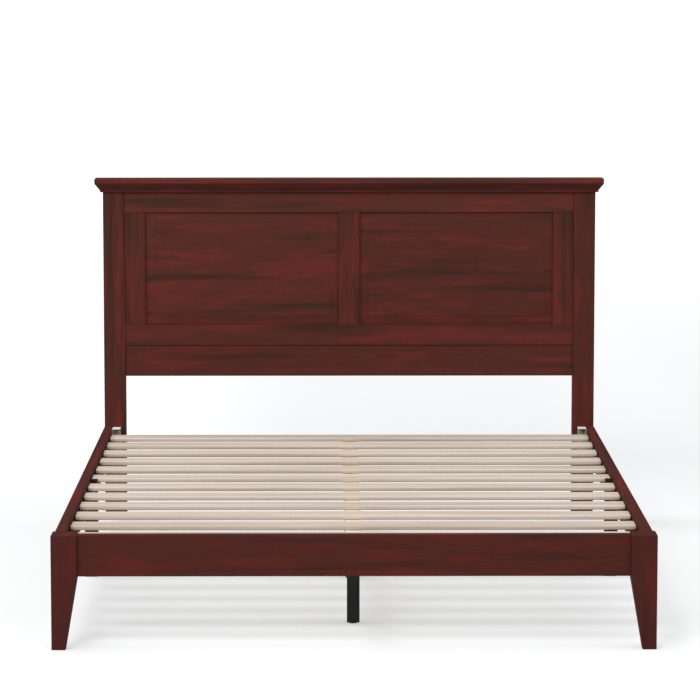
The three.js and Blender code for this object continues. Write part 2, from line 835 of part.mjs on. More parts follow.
function addFrame(parent) {
  addPiece(parent, "foot_rail", footRail(), stainedWood(), 0, footRailSetback, 0);
  const footLedger = [footLegSize + bracketRailFlange + ledgerEndClearance, sideLegFront - seatGap];
  const headLedger = [sideLegBack + seatGap, frameLength - bracketRailFlange - ledgerEndClearance];
  for (const { word, sign } of sides) {
    const railX = sign * (sideRailOuter - railThickness / 2);
    const ledgerX = sign * (sideRailInner - seatGap - ledgerWidth / 2);
    addPiece(parent, `foot_leg_${word}`, footLeg(sign), stainedWood());
    addPiece(parent, `side_rail_${word}`, sideRail(), stainedWood(), railX, 0, 0);
    addPiece(parent, `slat_ledger_foot_${word}`, ledger(...footLedger), stainedWood(), ledgerX, 0, 0);
    addPiece(parent, `slat_ledger_head_${word}`, ledger(...headLedger), stainedWood(), ledgerX, 0, 0);
    addPiece(parent, `side_leg_${word}`, sideLeg(sign), stainedWood());
    const footWord = `foot_${word}`;
    const headWord = `head_${word}`;
    addCorner(parent, footWord, -sign, footLegSize, 1, footBracketBottom, footBracketHeight, footBoltHeights);
    addCorner(parent, headWord, -sign, frameLength, -1, headBracketBottom, headBracketHeight, headBoltHeights);
  }
}

function addDeck(parent) {
  for (let index = 0; index < slatCount; index++) {
    const name = `slat_${String(index + 1).padStart(2, "0")}`;
    addPiece(parent, name, slat(), bareWood(), 0, firstSlat + index * slatPitch, slatTop);
  }
  addPiece(parent, "centre_beam", centreBeam(), beamWood());
}

function addCentreLegs(parent) {
  const pitch = (frameLength - 2 * centreLegMargin) / (centreLegCount - 1);
  for (let index = 0; index < centreLegCount; index++) {
    const leg = addGroup(parent, 0, centreLegMargin + index * pitch, 0);
    const number = index + 1;
    addPiece(leg, `centre_leg_plate_${number}`, centreLegPlate(), blackSteel(), 0, 0, plateTop - plateThickness);
    addPiece(leg, `centre_leg_tube_${number}`, centreLegTube(), blackSteel(), 0, 0, tubeBottom);
    addPiece(leg, `centre_leg_plug_${number}`, centreLegPlug(), blackPlastic(), 0, 0, plugBottom);
    addPiece(leg, `levelling_glide_${number}`, levellingGlide(), blackPlastic());
  }
}

const bed = new THREE.Group();
bed.position.set(0, -overallDepth / 2, 0);
addHeadboard(bed);
addFrame(bed);
addDeck(bed);
addCentreLegs(bed);

export default bed;
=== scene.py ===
"""Looks of a platform bed with a panelled headboard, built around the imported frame.

The solids of the frame give every size and place. Each class below stands for one sub-assembly of the bed, models its
boards, slats and fittings at those places, and gives them their finishes.
"""

import json
import logging
from collections.abc import Callable, Iterator
from contextlib import contextmanager
from dataclasses import dataclass
from enum import Enum
from itertools import product
from math import pi, radians
from typing import NamedTuple

import bmesh
import bpy
from mathutils import Matrix, Vector

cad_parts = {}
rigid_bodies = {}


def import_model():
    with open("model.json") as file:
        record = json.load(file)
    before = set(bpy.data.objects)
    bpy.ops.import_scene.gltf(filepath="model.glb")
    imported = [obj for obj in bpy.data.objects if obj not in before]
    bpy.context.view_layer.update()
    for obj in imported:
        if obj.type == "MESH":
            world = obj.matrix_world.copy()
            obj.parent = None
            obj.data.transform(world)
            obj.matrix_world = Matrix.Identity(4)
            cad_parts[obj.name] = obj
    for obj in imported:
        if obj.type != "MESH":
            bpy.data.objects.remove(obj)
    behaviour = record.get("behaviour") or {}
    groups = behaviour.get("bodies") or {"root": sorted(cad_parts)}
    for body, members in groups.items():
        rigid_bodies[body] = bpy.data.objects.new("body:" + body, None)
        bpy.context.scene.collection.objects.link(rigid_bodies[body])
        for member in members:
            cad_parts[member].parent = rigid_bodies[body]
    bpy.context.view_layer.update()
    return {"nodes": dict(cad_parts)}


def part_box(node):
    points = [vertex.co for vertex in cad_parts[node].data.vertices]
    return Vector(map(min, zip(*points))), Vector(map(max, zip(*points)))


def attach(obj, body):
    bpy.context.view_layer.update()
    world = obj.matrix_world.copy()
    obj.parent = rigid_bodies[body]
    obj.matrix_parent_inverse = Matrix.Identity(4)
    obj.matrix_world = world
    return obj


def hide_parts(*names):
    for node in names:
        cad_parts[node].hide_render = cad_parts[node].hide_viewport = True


X, Y, Z = range(3)
MM = 0.001
# Points that are nearer to each other than this lie together.
TOUCH = 0.01 * MM
# A face looks along an axis from the first share of its direction on, and an edge runs along it from the other.
FACING = 0.9
STRAIGHT = 0.999
EASE_STEPS = 3
FINE_STEPS = 2
# A colour mix has five inputs of other kinds between its factor and its colours, and its result comes third.
MIX_UNUSED = (None,) * 5
MIX_RESULT = 2
WHITE = (1.0, 1.0, 1.0)
BED_BODY = "bed"
# How much lighter or darker each board is made, beside a tone of 1 for the rest: partly each board's own take of the
# stain, partly painted light and shade, such as the darker moulding and side legs, which stand in shade.
BOARD_TONES_WITH_PAINTED_LIGHT = {
    "headboard_cap": 1.06,
    "cap_moulding_front": 0.75,
    "headboard_top_rail": 1.20,
    "headboard_panel_left": 1.04,
    "headboard_panel_right": 0.97,
    "headboard_centre_stile": 0.94,
    "headboard_stile_left": 0.96,
    "headboard_stile_right": 0.96,
    "headboard_post_left": 0.97,
    "headboard_post_right": 0.90,
    "foot_leg_left": 0.81,
    "foot_leg_right": 0.82,
    "foot_rail": 0.91,
    "side_leg_left": 0.60,
    "side_leg_right": 0.60,
}
log = logging.getLogger("platform_bed")

Box = tuple[Vector, Vector]
Colour = tuple[float, float, float]
EdgeTest = Callable[[Vector, Vector], bool]
Piece = bpy.types.Object
Material = bpy.types.Material
Node = bpy.types.Node
Socket = bpy.types.NodeSocket


class Grain(Enum):
    """The axis along which the fibres of a board run."""

    X, Y, Z = range(3)


class Direction(Enum):
    """A side or an end of the bed, as its sign along an axis."""

    @property
    def word(self) -> str:
        """The word that node names use for it."""
        return self.name.lower()


class Side(Direction):
    """A side of the bed, as its sign along X."""

    LEFT = -1
    RIGHT = 1


class End(Direction):
    """An end of the bed, as its sign along Y."""

    FOOT = -1
    HEAD = 1


class Ramp(NamedTuple):
    """A smooth step: while a value goes from start to end, the result goes from low to high."""

    start: float
    end: float
    low: float = 0.0
    high: float = 1.0


@dataclass(frozen=True)
class Pattern:
    """A noise, in spots per metre across the grain and along it, with its finer layers and their strength."""

    across: float
    along: float | None = None
    detail: float = 2.0
    roughness: float = 0.5

    def scale(self, grain: Grain) -> Vector:
        """Spots per metre along X, Y and Z on a piece with a grain."""
        along = self.across if self.along is None else self.along
        return Vector([along if axis == grain.value else self.across for axis in (X, Y, Z)])


class Graph:
    """A shader tree that is filled node by node."""

    def __init__(self, tree: bpy.types.NodeTree) -> None:
        """Starts from an empty tree."""
        self.tree = tree
        self.tree.nodes.clear()

    def add(self, kind: str, **settings: object) -> Node:
        """Adds a node and sets its properties.

        Args:
            kind: The node's type name.
            settings: Properties of the node by name.

        Returns:
            The new node.
        """
        node = self.tree.nodes.new(kind)
        for name, value in settings.items():
            setattr(node, name, value)
        return node

    def feed(self, node: Node, *ordered: object, **named: object) -> Node:
        """Sets or links the inputs of a node.

        Args:
            node: The node whose inputs are set.
            ordered: For its first inputs a socket, a plain value, or nothing. A tuple is a colour.
            named: The same by the input's name, with underscores for spaces.

        Returns:
            The same node.
        """
        by_name = [(node.inputs[name.replace("_", " ")], value) for name, value in named.items()]
        for socket, value in [*zip(node.inputs, ordered), *by_name]:
            if isinstance(value, Socket):
                self.tree.links.new(value, socket)
            elif value is not None:
                socket.default_value = (*value, 1.0) if isinstance(value, tuple) else value
        return node

    def place(self, shift: Vector | None = None) -> Socket:
        """The piece's own coordinates.

        Args:
            shift: How far they are moved, if at all.

        Returns:
            The coordinates.
        """
        place = self.add("ShaderNodeTexCoord").outputs["Object"]
        if shift is None:
            return place
        return self.feed(self.add("ShaderNodeMapping"), Vector=place, Location=shift).outputs["Vector"]

    def noise(self, place: Socket, pattern: Pattern, grain: Grain = Grain.X) -> Socket:
        """A noise value whose spots are stretched along the grain.

        Args:
            place: The coordinates to read.
            pattern: The spots.
            grain: The direction of the fibres.

        Returns:
            The noise value between 0 and 1.
        """
        mapping = self.feed(self.add("ShaderNodeMapping"), Vector=place, Scale=pattern.scale(grain))
        texture = self.feed(self.add("ShaderNodeTexNoise"), Vector=mapping.outputs["Vector"], Scale=1.0)
        self.feed(texture, Detail=pattern.detail, Roughness=pattern.roughness)
        return texture.outputs["Fac"]

    def remap(self, value: Socket, ramp: Ramp) -> Socket:
        """Maps a value by a ramp and clamps it."""
        node = self.feed(self.add("ShaderNodeMapRange", interpolation_type="SMOOTHSTEP"), value, *ramp)
        return node.outputs["Result"]

    def mix(self, factor: object, first: object, second: object) -> Socket:
        """Mixes two colours, with the factor as the share of the second one."""
        node = self.feed(self.add("ShaderNodeMix", data_type="RGBA"), factor, *MIX_UNUSED, first, second)
        return node.outputs[MIX_RESULT]

    def calculate(self, operation: str, first: object, second: object = 0.0) -> Socket:
        """Calculates a number from two others by an operation such as ADD, or from the first alone."""
        return self.feed(self.add("ShaderNodeMath", operation=operation), first, second).outputs["Value"]


class Surface(Graph):
    """The shader tree of a new material with one main shader."""

    def __init__(self, name: str) -> None:
        """Makes the material.

        Args:
            name: The material's name.
        """
        self.material = bpy.data.materials.new(name)
        self.material.use_nodes = True
        super().__init__(self.material.node_tree)
        self.shader = self.add("ShaderNodeBsdfPrincipled")
        self.feed(self.add("ShaderNodeOutputMaterial"), Surface=self.shader.outputs["BSDF"])

    def look(self, **inputs: object) -> None:
        """Sets or links inputs of the main shader by name."""
        self.feed(self.shader, **inputs)

    def relief(self, height: Socket, depth: float) -> None:
        """Gives the surface a fine relief, with a height in shares of its depth in metres."""
        bump = self.feed(self.add("ShaderNodeBump"), Height=height, Distance=depth, Strength=1.0)
        self.look(Normal=bump.outputs["Normal"])


def toned(colour: Colour, tone: float) -> Colour:
    """A colour made lighter or darker by a factor."""
    return tuple(tone * channel for channel in colour)


@dataclass(frozen=True)
class StainedWood:
    """A dark reddish-brown stain under a satin lacquer, with streaks along the grain."""

    slot: str = "stained_wood"
    deep: Colour = (0.028, 0.0085, 0.0048)
    middle: Colour = (0.065, 0.0102, 0.0062)
    warm: Colour = (0.100, 0.0118, 0.0078)
    pore: Colour = (0.014, 0.0040, 0.0030)
    streaks: Pattern = Pattern(40.0, 1.8)
    clouds: Pattern = Pattern(30.0, 5.0, detail=3.0, roughness=0.6)
    fibres: Pattern = Pattern(330.0, 7.0)
    pores: Pattern = Pattern(900.0, 55.0, detail=1.0)
    warm_share: Ramp = Ramp(0.44, 0.66)
    streak_share: Ramp = Ramp(0.26, 0.50, 0.90, 0.0)
    fibre_share: Ramp = Ramp(0.35, 0.70, 0.22, 0.0)
    pore_share: Ramp = Ramp(0.60, 0.72, 0.0, 0.40)
    pore_pit: Ramp = Ramp(0.58, 0.70, 0.0, -0.8)
    depth: float = 0.12 * MM
    roughness: Ramp = Ramp(0.3, 0.7, 0.66, 0.78)
    gloss: float = 0.15
    lacquer: float = 0.02
    lacquer_roughness: float = 0.40

    def material(self, name: str, grain: Grain, shift: Vector, tone: float = 1.0) -> Material:
        """Makes the finish for one board.

        Args:
            name: The material's name.
            grain: The direction of the fibres.
            shift: How far the pattern is moved, so that no two boards look alike.
            tone: How much lighter or darker the board is made, beside the others: partly its own stain, partly painted
                light and shade.

        Returns:
            The material.
        """
        graph = Surface(name)
        place = graph.place(shift)
        patterns = (self.streaks, self.clouds, self.fibres, self.pores)
        streak, cloud, fibre, pore = (graph.noise(place, pattern, grain) for pattern in patterns)
        deep, middle, warm = (toned(colour, tone) for colour in (self.deep, self.middle, self.warm))
        colour = graph.mix(graph.remap(cloud, self.warm_share), middle, warm)
        colour = graph.mix(graph.remap(streak, self.streak_share), colour, deep)
        colour = graph.mix(graph.remap(fibre, self.fibre_share), colour, deep)
        colour = graph.mix(graph.remap(pore, self.pore_share), colour, self.pore)
        graph.relief(graph.calculate("ADD", fibre, graph.remap(pore, self.pore_pit)), self.depth)
        graph.look(Base_Color=colour, Roughness=graph.remap(cloud, self.roughness), Specular_IOR_Level=self.gloss)
        graph.look(Coat_Weight=self.lacquer, Coat_Roughness=self.lacquer_roughness)
        return graph.material


@dataclass(frozen=True)
class BareWood:
    """Planed wood without a finish."""

    slot: str = "bare_wood"
    light: Colour = (0.53, 0.45, 0.385)
    shade: Colour = (0.45, 0.37, 0.305)
    line: Colour = (0.36, 0.28, 0.215)
    bands: Pattern = Pattern(26.0, 0.9, detail=4.0, roughness=0.6)
    fibres: Pattern = Pattern(420.0, 9.0)
    shade_share: Ramp = Ramp(0.35, 0.65)
    line_share: Ramp = Ramp(0.52, 0.60, 0.0, 0.38)
    fibre_share: Ramp = Ramp(0.30, 0.70, 0.22, 0.0)
    depth: float = 0.18 * MM
    roughness: Ramp = Ramp(0.3, 0.7, 0.62, 0.80)

    def material(self, name: str, grain: Grain, shift: Vector) -> Material:
        """Makes the finish for one slat or beam.

        Args:
            name: The material's name.
            grain: The direction of the fibres.
            shift: How far the pattern is moved, so that no two pieces look alike.

        Returns:
            The material.
        """
        graph = Surface(name)
        place = graph.place(shift)
        band = graph.noise(place, self.bands, grain)
        fibre = graph.noise(place, self.fibres, grain)
        colour = graph.mix(graph.remap(band, self.shade_share), self.light, self.shade)
        colour = graph.mix(graph.remap(band, self.line_share), colour, self.line)
        colour = graph.mix(graph.remap(fibre, self.fibre_share), colour, self.line)
        graph.relief(fibre, self.depth)
        graph.look(Base_Color=colour, Roughness=graph.remap(fibre, self.roughness))
        return graph.material


@dataclass(frozen=True)
class ZincPlate:
    """Zinc plating with faint crystals and rolling marks, and a painted highlight along its upper edges."""

    slot: str = "zinc_steel"
    light: Colour = (0.40, 0.385, 0.345)
    dull: Colour = (0.30, 0.29, 0.26)
    # Painted highlight: near the upper edges the colour is made bright and less metallic, standing in for light from
    # above.
    worn: Colour = (0.82, 0.77, 0.70)
    metal: float = 0.45
    worn_metal: float = 0.05
    worn_depth: float = 2.0 * MM
    crystals: float = 260.0
    marks: Pattern = Pattern(900.0)
    depth: float = 0.03 * MM
    roughness: Ramp = Ramp(0.0, 1.0, 0.40, 0.52)

    def material(self, name: str, top: float) -> Material:
        """Makes the finish.

        Args:
            name: The material's name.
            top: The height of the upper edges, under which the highlight is painted.

        Returns:
            The material.
        """
        graph = Surface(name)
        place = graph.place()
        height = graph.feed(graph.add("ShaderNodeSeparateXYZ"), Vector=place).outputs["Z"]
        # Mask of the painted highlight, by height under the upper edges.
        highlight_mask = graph.remap(height, Ramp(top - self.worn_depth, top - self.worn_depth / 2))
        crystal = graph.feed(graph.add("ShaderNodeTexVoronoi"), Vector=place, Scale=self.crystals)
        spread = graph.feed(graph.add("ShaderNodeRGBToBW"), Color=crystal.outputs["Color"]).outputs["Val"]
        colour = graph.mix(highlight_mask, graph.mix(spread, self.light, self.dull), self.worn)
        graph.relief(graph.noise(place, self.marks), self.depth)
        graph.look(Base_Color=colour, Roughness=graph.remap(spread, self.roughness))
        graph.look(Metallic=graph.remap(highlight_mask, Ramp(0.0, 1.0, self.metal, self.worn_metal)))
        return graph.material


@dataclass(frozen=True)
class PowderCoat:
    """Black powder coat with its fine texture."""

    slot: str = "black_steel"
    base: Colour = (0.013, 0.013, 0.013)
    crest: Colour = (0.023, 0.023, 0.024)
    gloss: float = 0.2
    grit: Pattern = Pattern(1500.0, roughness=0.6)
    crest_share: Ramp = Ramp(0.4, 0.65)
    depth: float = 0.08 * MM
    roughness: Ramp = Ramp(0.3, 0.7, 0.40, 0.55)

    def material(self, name: str) -> Material:
        """Makes the finish.

        Args:
            name: The material's name.

        Returns:
            The material.
        """
        graph = Surface(name)
        grit = graph.noise(graph.place(), self.grit)
        colour = graph.mix(graph.remap(grit, self.crest_share), self.base, self.crest)
        graph.relief(grit, self.depth)
        graph.look(Base_Color=colour, Roughness=graph.remap(grit, self.roughness), Specular_IOR_Level=self.gloss)
        return graph.material


@dataclass(frozen=True)
class MouldedPlastic(PowderCoat):
    """Black moulded plastic, smoother than the powder coat."""

    slot: str = "black_plastic"
    base: Colour = (0.008, 0.008, 0.008)
    crest: Colour = (0.014, 0.014, 0.014)
    grit: Pattern = Pattern(700.0, roughness=0.6)
    depth: float = 0.03 * MM
    roughness: Ramp = Ramp(0.3, 0.7, 0.48, 0.60)


@dataclass(frozen=True)
class FloorPaint:
    """The pale matt floor of the studio, with a glow that is graded by place: a painted soft shade round, beside and
    behind the bed, and painted light in front of its foot.

    Its ramps start and end at distances in metres: from the bed's middle (far_glow), along X (left_glow, core_left and
    core_right), along X from side_centre (side_shade), and along Y (the others).
    """

    colour: Colour = (0.519, 0.527, 0.532)
    mottle: Colour = (0.511, 0.519, 0.524)
    spots: Pattern = Pattern(2.0)
    # Painted light and shade: the glow is lower near the bed, beside it and behind the headboard, and higher in front
    # of the foot.
    far_glow: Ramp = Ramp(1.7, 11.0, 0.345, 0.54)
    front_glow: Ramp = Ramp(-1.05, -0.55, 0.06, 0.0)
    left_glow: Ramp = Ramp(-1.6, -0.4, 0.18, 0.0)
    side_centre: float = 0.15
    side_shade: Ramp = Ramp(0.6, 1.4, 0.0, 0.09)
    core_left: Ramp = Ramp(-1.0, -0.1, 0.0, 0.13)
    core_right: Ramp = Ramp(0.7, 1.4, 1.0, 0.2)
    behind: Ramp = Ramp(0.8, 2.6)
    shade_end: Ramp = Ramp(6.0, 13.0, 1.0, 0.0)
    unseen_share: float = 0.2
    roughness: float = 0.9

    def glow(self, graph: Graph, place: Socket) -> Socket:
        """Grades the glow, so that the floor has a painted soft shade beside and behind the bed and painted light in
        front of it.

        Args:
            graph: The material's graph.
            place: The floor's own coordinates.

        Returns:
            The strength of the glow.
        """
        reach = graph.feed(graph.add("ShaderNodeVectorMath", operation="LENGTH"), Vector=place).outputs["Value"]
        parts = graph.feed(graph.add("ShaderNodeSeparateXYZ"), Vector=place)
        across, along = parts.outputs["X"], parts.outputs["Y"]
        aside = graph.calculate("ABSOLUTE", graph.calculate("SUBTRACT", across, self.side_centre))
        behind, near = graph.remap(along, self.behind), graph.remap(along, self.shade_end)
        left = graph.calculate("MULTIPLY", graph.remap(across, self.left_glow), behind)
        side = graph.calculate("MULTIPLY", graph.remap(aside, self.side_shade), near)
        # The core is a painted shadow of the headboard on the floor behind it.
        core = graph.calculate("MULTIPLY", graph.remap(across, self.core_left), graph.remap(across, self.core_right))
        core = graph.calculate("MULTIPLY", graph.calculate("MULTIPLY", core, near), behind)
        glow = graph.calculate("ADD", graph.remap(reach, self.far_glow), graph.remap(along, self.front_glow))
        glow = graph.calculate("ADD", graph.calculate("SUBTRACT", glow, side), left)
        return graph.calculate("SUBTRACT", glow, core)

    def material(self, name: str) -> Material:
        """Makes the finish, which lights the bed with only a share of the glow that is seen.

        Args:
            name: The material's name.

        Returns:
            The material.
        """
        graph = Surface(name)
        place = graph.place()
        colour = graph.mix(graph.noise(place, self.spots), self.colour, self.mottle)
        seen = graph.add("ShaderNodeLightPath").outputs["Is Camera Ray"]
        share = graph.remap(seen, Ramp(0.0, 1.0, self.unseen_share))
        glow = graph.calculate("MULTIPLY", self.glow(graph, place), share)
        graph.look(Base_Color=colour, Roughness=self.roughness, Specular_IOR_Level=0.0)
        graph.look(Emission_Color=WHITE, Emission_Strength=glow)
        return graph.material


def select_only(piece: Piece) -> None:
    """Deselects everything else and makes a piece the active one.

    Args:
        piece: The piece to select.
    """
    for other in bpy.context.view_layer.objects:
        other.select_set(False)
    piece.select_set(True)
    bpy.context.view_layer.objects.active = piece


@contextmanager
def editing(piece: Piece) -> Iterator[None]:
    """Keeps a piece in edit mode with nothing selected at first.

    Args:
        piece: The piece to edit.

    Yields:
        Nothing; the piece is in edit mode meanwhile.
    """
    select_only(piece)
    bpy.ops.object.mode_set(mode="EDIT")
    bpy.ops.mesh.select_all(action="DESELECT")
    yield
    bpy.ops.object.mode_set(mode="OBJECT")


def pick_faces(piece: Piece, *directions: tuple[int, int, int]) -> None:
    """Selects the faces of the edited piece that look in one of some directions, and no others.

    Args:
        piece: The piece in edit mode.
        directions: The directions, each along one axis.
    """
    bpy.ops.mesh.select_mode(type="FACE")
    mesh = bmesh.from_edit_mesh(piece.data)
    for face in mesh.faces:
        face.select = any(face.normal.dot(Vector(direction)) > FACING for direction in directions)
    mesh.select_flush_mode()
    bmesh.update_edit_mesh(piece.data)


def runs_along(axis: int) -> EdgeTest:
    """A test for edges that run along an axis."""
    return lambda first, second: abs((second - first).normalized()[axis]) > STRAIGHT


def lies_at(axis: int, place: float) -> EdgeTest:
    """A test for edges that lie wholly at a place on an axis."""
    return lambda first, second: max(abs(first[axis] - place), abs(second[axis] - place)) < TOUCH


def settle(piece: Piece) -> None:
    """Puts a piece's place, turn and scale into its mesh, so that its object sits at the origin."""
    select_only(piece)
    bpy.ops.object.transform_apply(location=True, rotation=True, scale=True)


def apply_modifier(piece: Piece, kind: str, **settings: object) -> None:
    """Adds a modifier to a piece and applies it.

    Args:
        piece: The piece to change.
        kind: The modifier's type name.
        settings: Properties of the modifier by name.
    """
    select_only(piece)
    modifier = piece.modifiers.new(kind.lower(), kind)
    for name, value in settings.items():
        setattr(modifier, name, value)
    bpy.ops.object.modifier_apply(modifier=modifier.name)


def shade(piece: Piece, angle_degrees: float = 35.0) -> None:
    """Shades a piece smooth where it is rounded and keeps its flat faces flat.

    Args:
        piece: The piece to shade.
        angle_degrees: The steepest step between faces that still looks smooth.
    """
    select_only(piece)
    bpy.ops.object.shade_smooth_by_angle(angle=radians(angle_degrees))
    apply_modifier(piece, "WEIGHTED_NORMAL", keep_sharp=True)


def block(name: str, low: Vector, high: Vector) -> Piece:
    """Adds a box between two corners, as the start of a piece.

    Args:
        name: The piece's name.
        low: Its lowest corner.
        high: Its highest corner.

    Returns:
        The new object.
    """
    bpy.ops.mesh.primitive_cube_add(size=1.0, location=(low + high) / 2)
    piece = bpy.context.object
    piece.name = name
    piece.scale = high - low
    settle(piece)
    return piece


def cylinder(name: str, radius: float, length: float, sides: int, base: float = 0.0) -> Piece:
    """Adds an upright cylinder over the origin, as the start of a piece.

    Args:
        name: The piece's name.
        radius: Its radius.
        length: Its length.
        sides: The number of its sides.
        base: The height of its lower end.

    Returns:
        The new object.
    """
    place = (0, 0, base + length / 2)
    bpy.ops.mesh.primitive_cylinder_add(vertices=sides, radius=radius, depth=length, location=place)
    piece = bpy.context.object
    piece.name = name
    settle(piece)
    return piece


def bevel(piece: Piece, width: float, wanted: EdgeTest, steps: int = EASE_STEPS) -> None:
    """Rounds the edges that pass a test.

    Args:
        piece: The piece to edit.
        width: The width of the rounding.
        wanted: A test of an edge's two ends.
        steps: The number of steps in the rounding.
    """
    with editing(piece):
        bpy.ops.mesh.select_mode(type="EDGE")
        mesh = bmesh.from_edit_mesh(piece.data)
        for face in mesh.faces:
            face.select = False
        for edge in mesh.edges:
            edge.select = wanted(edge.verts[0].co, edge.verts[1].co)
        bmesh.update_edit_mesh(piece.data)
        if any(edge.select for edge in mesh.edges):
            bpy.ops.mesh.bevel(offset=width, segments=steps, profile=0.5, affect="EDGES", clamp_overlap=True)


def board(name: str, low: Vector, high: Vector, grain: Grain, ease: float) -> Piece:
    """Models a board with its long edges rounded.

    Args:
        name: The piece's name.
        low: Its lowest corner.
        high: Its highest corner.
        grain: The direction of its fibres and of its long edges.
        ease: The rounding of the long edges.

    Returns:
        The new object.
    """
    piece = block(name, low, high)
    bevel(piece, ease, runs_along(grain.value))
    shade(piece)
    return piece


def linked(name: str, data: bpy.types.ID) -> Piece:
    """Makes an object for a mesh, light or camera and puts it in the scene.

    Args:
        name: The object's name.
        data: The mesh, light or camera.

    Returns:
        The new object.
    """
    piece = bpy.data.objects.new(name, data)
    bpy.context.scene.collection.objects.link(piece)
    return piece


def merged_copy(name: str, node: Piece, flat_degrees: float = 1.0) -> Piece:
    """Copies a solid of the frame and joins its loose triangles into clean faces.

    Args:
        name: The name of the copy.
        node: The solid to copy.
        flat_degrees: The steepest step between triangles that are joined.

    Returns:
        The new object.
    """
    piece = linked(name, node.data.copy())
    select_only(piece)
    bpy.ops.mesh.customdata_custom_splitnormals_clear()
    with editing(piece):
        bpy.ops.mesh.select_all(action="SELECT")
        bpy.ops.mesh.remove_doubles(threshold=TOUCH)
        bpy.ops.mesh.dissolve_limited(angle_limit=radians(flat_degrees))
    return piece


def placed_copy(name: str, source: Piece, place: Vector, quarters: int = 0, axis: str = "X") -> Piece:
    """Copies a finished piece to another place, with a mesh of its own.

    Args:
        name: The name of the copy.
        source: The piece to copy.
        place: How far the copy is moved from the source's own place.
        quarters: The quarters of a circle by which it is turned before that.
        axis: The axis of the turn.

    Returns:
        The new object.
    """
    piece = linked(name, source.data.copy())
    piece.data.transform(Matrix.Translation(place) @ Matrix.Rotation(quarters * pi / 2, 4, axis))
    return piece


def cut(piece: Piece, cutter: Piece) -> None:
    """Cuts one piece with another and removes the cutter."""
    apply_modifier(piece, "BOOLEAN", operation="DIFFERENCE", solver="EXACT", object=cutter)
    bpy.data.objects.remove(cutter)


@dataclass
class Bench:
    """Gives modelled pieces their finish and ties them to the frame."""

    nodes: dict[str, Piece]
    shift_step: tuple[float, float, float] = (3.7, 1.9, 2.3)
    made: int = 0

    def next_shift(self) -> Vector:
        """A new shift of the grain for each board, in metres."""
        self.made += 1
        return Vector([step * self.made for step in self.shift_step])

    def finish(self, piece: Piece, material: Material, slot: str, *replaced: str, body: str = BED_BODY) -> None:
        """Dresses a piece, ties it to its body and lets it stand for solids of the frame.

        Args:
            piece: The finished piece.
            material: Its material.
            slot: The record's name of its finish; not used.
            replaced: The solids that it stands for.
            body: The body that it rides on.
        """
        piece.data.materials.clear()
        piece.data.materials.append(material)
        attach(piece, body)
        if replaced:
            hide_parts(*replaced)
        log.info("%s: %d faces on %s, for %s", piece.name, len(piece.data.polygons), body, replaced or "no solid")


@dataclass
class StainedWork:
    """A sub-assembly of stained wood."""

    bench: Bench
    wood: StainedWood

    def stain(self, piece: Piece, node: str, grain: Grain) -> None:
        """Finishes a piece with a grain and a tone of its own, which holds painted light and shade as well as stain.

        Args:
            piece: The finished piece.
            node: The solid that it stands for.
            grain: The direction of its fibres.
        """
        tone = BOARD_TONES_WITH_PAINTED_LIGHT.get(node, 1.0)
        material = self.wood.material(f"{piece.name}_stain", grain, self.bench.next_shift(), tone)
        self.bench.finish(piece, material, self.wood.slot, node)

    def board(self, node: str, grain: Grain, ease: float, box: Box | None = None) -> None:
        """Models a board with its long edges rounded, and stains it.

        Args:
            node: The solid that it stands for.
            grain: The direction of its fibres and of its long edges.
            ease: The rounding of the long edges.
            box: Its corners, where they aren't the solid's.
        """
        low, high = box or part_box(node)
        self.stain(board(f"{node}_wood", low, high, grain, ease), node, grain)


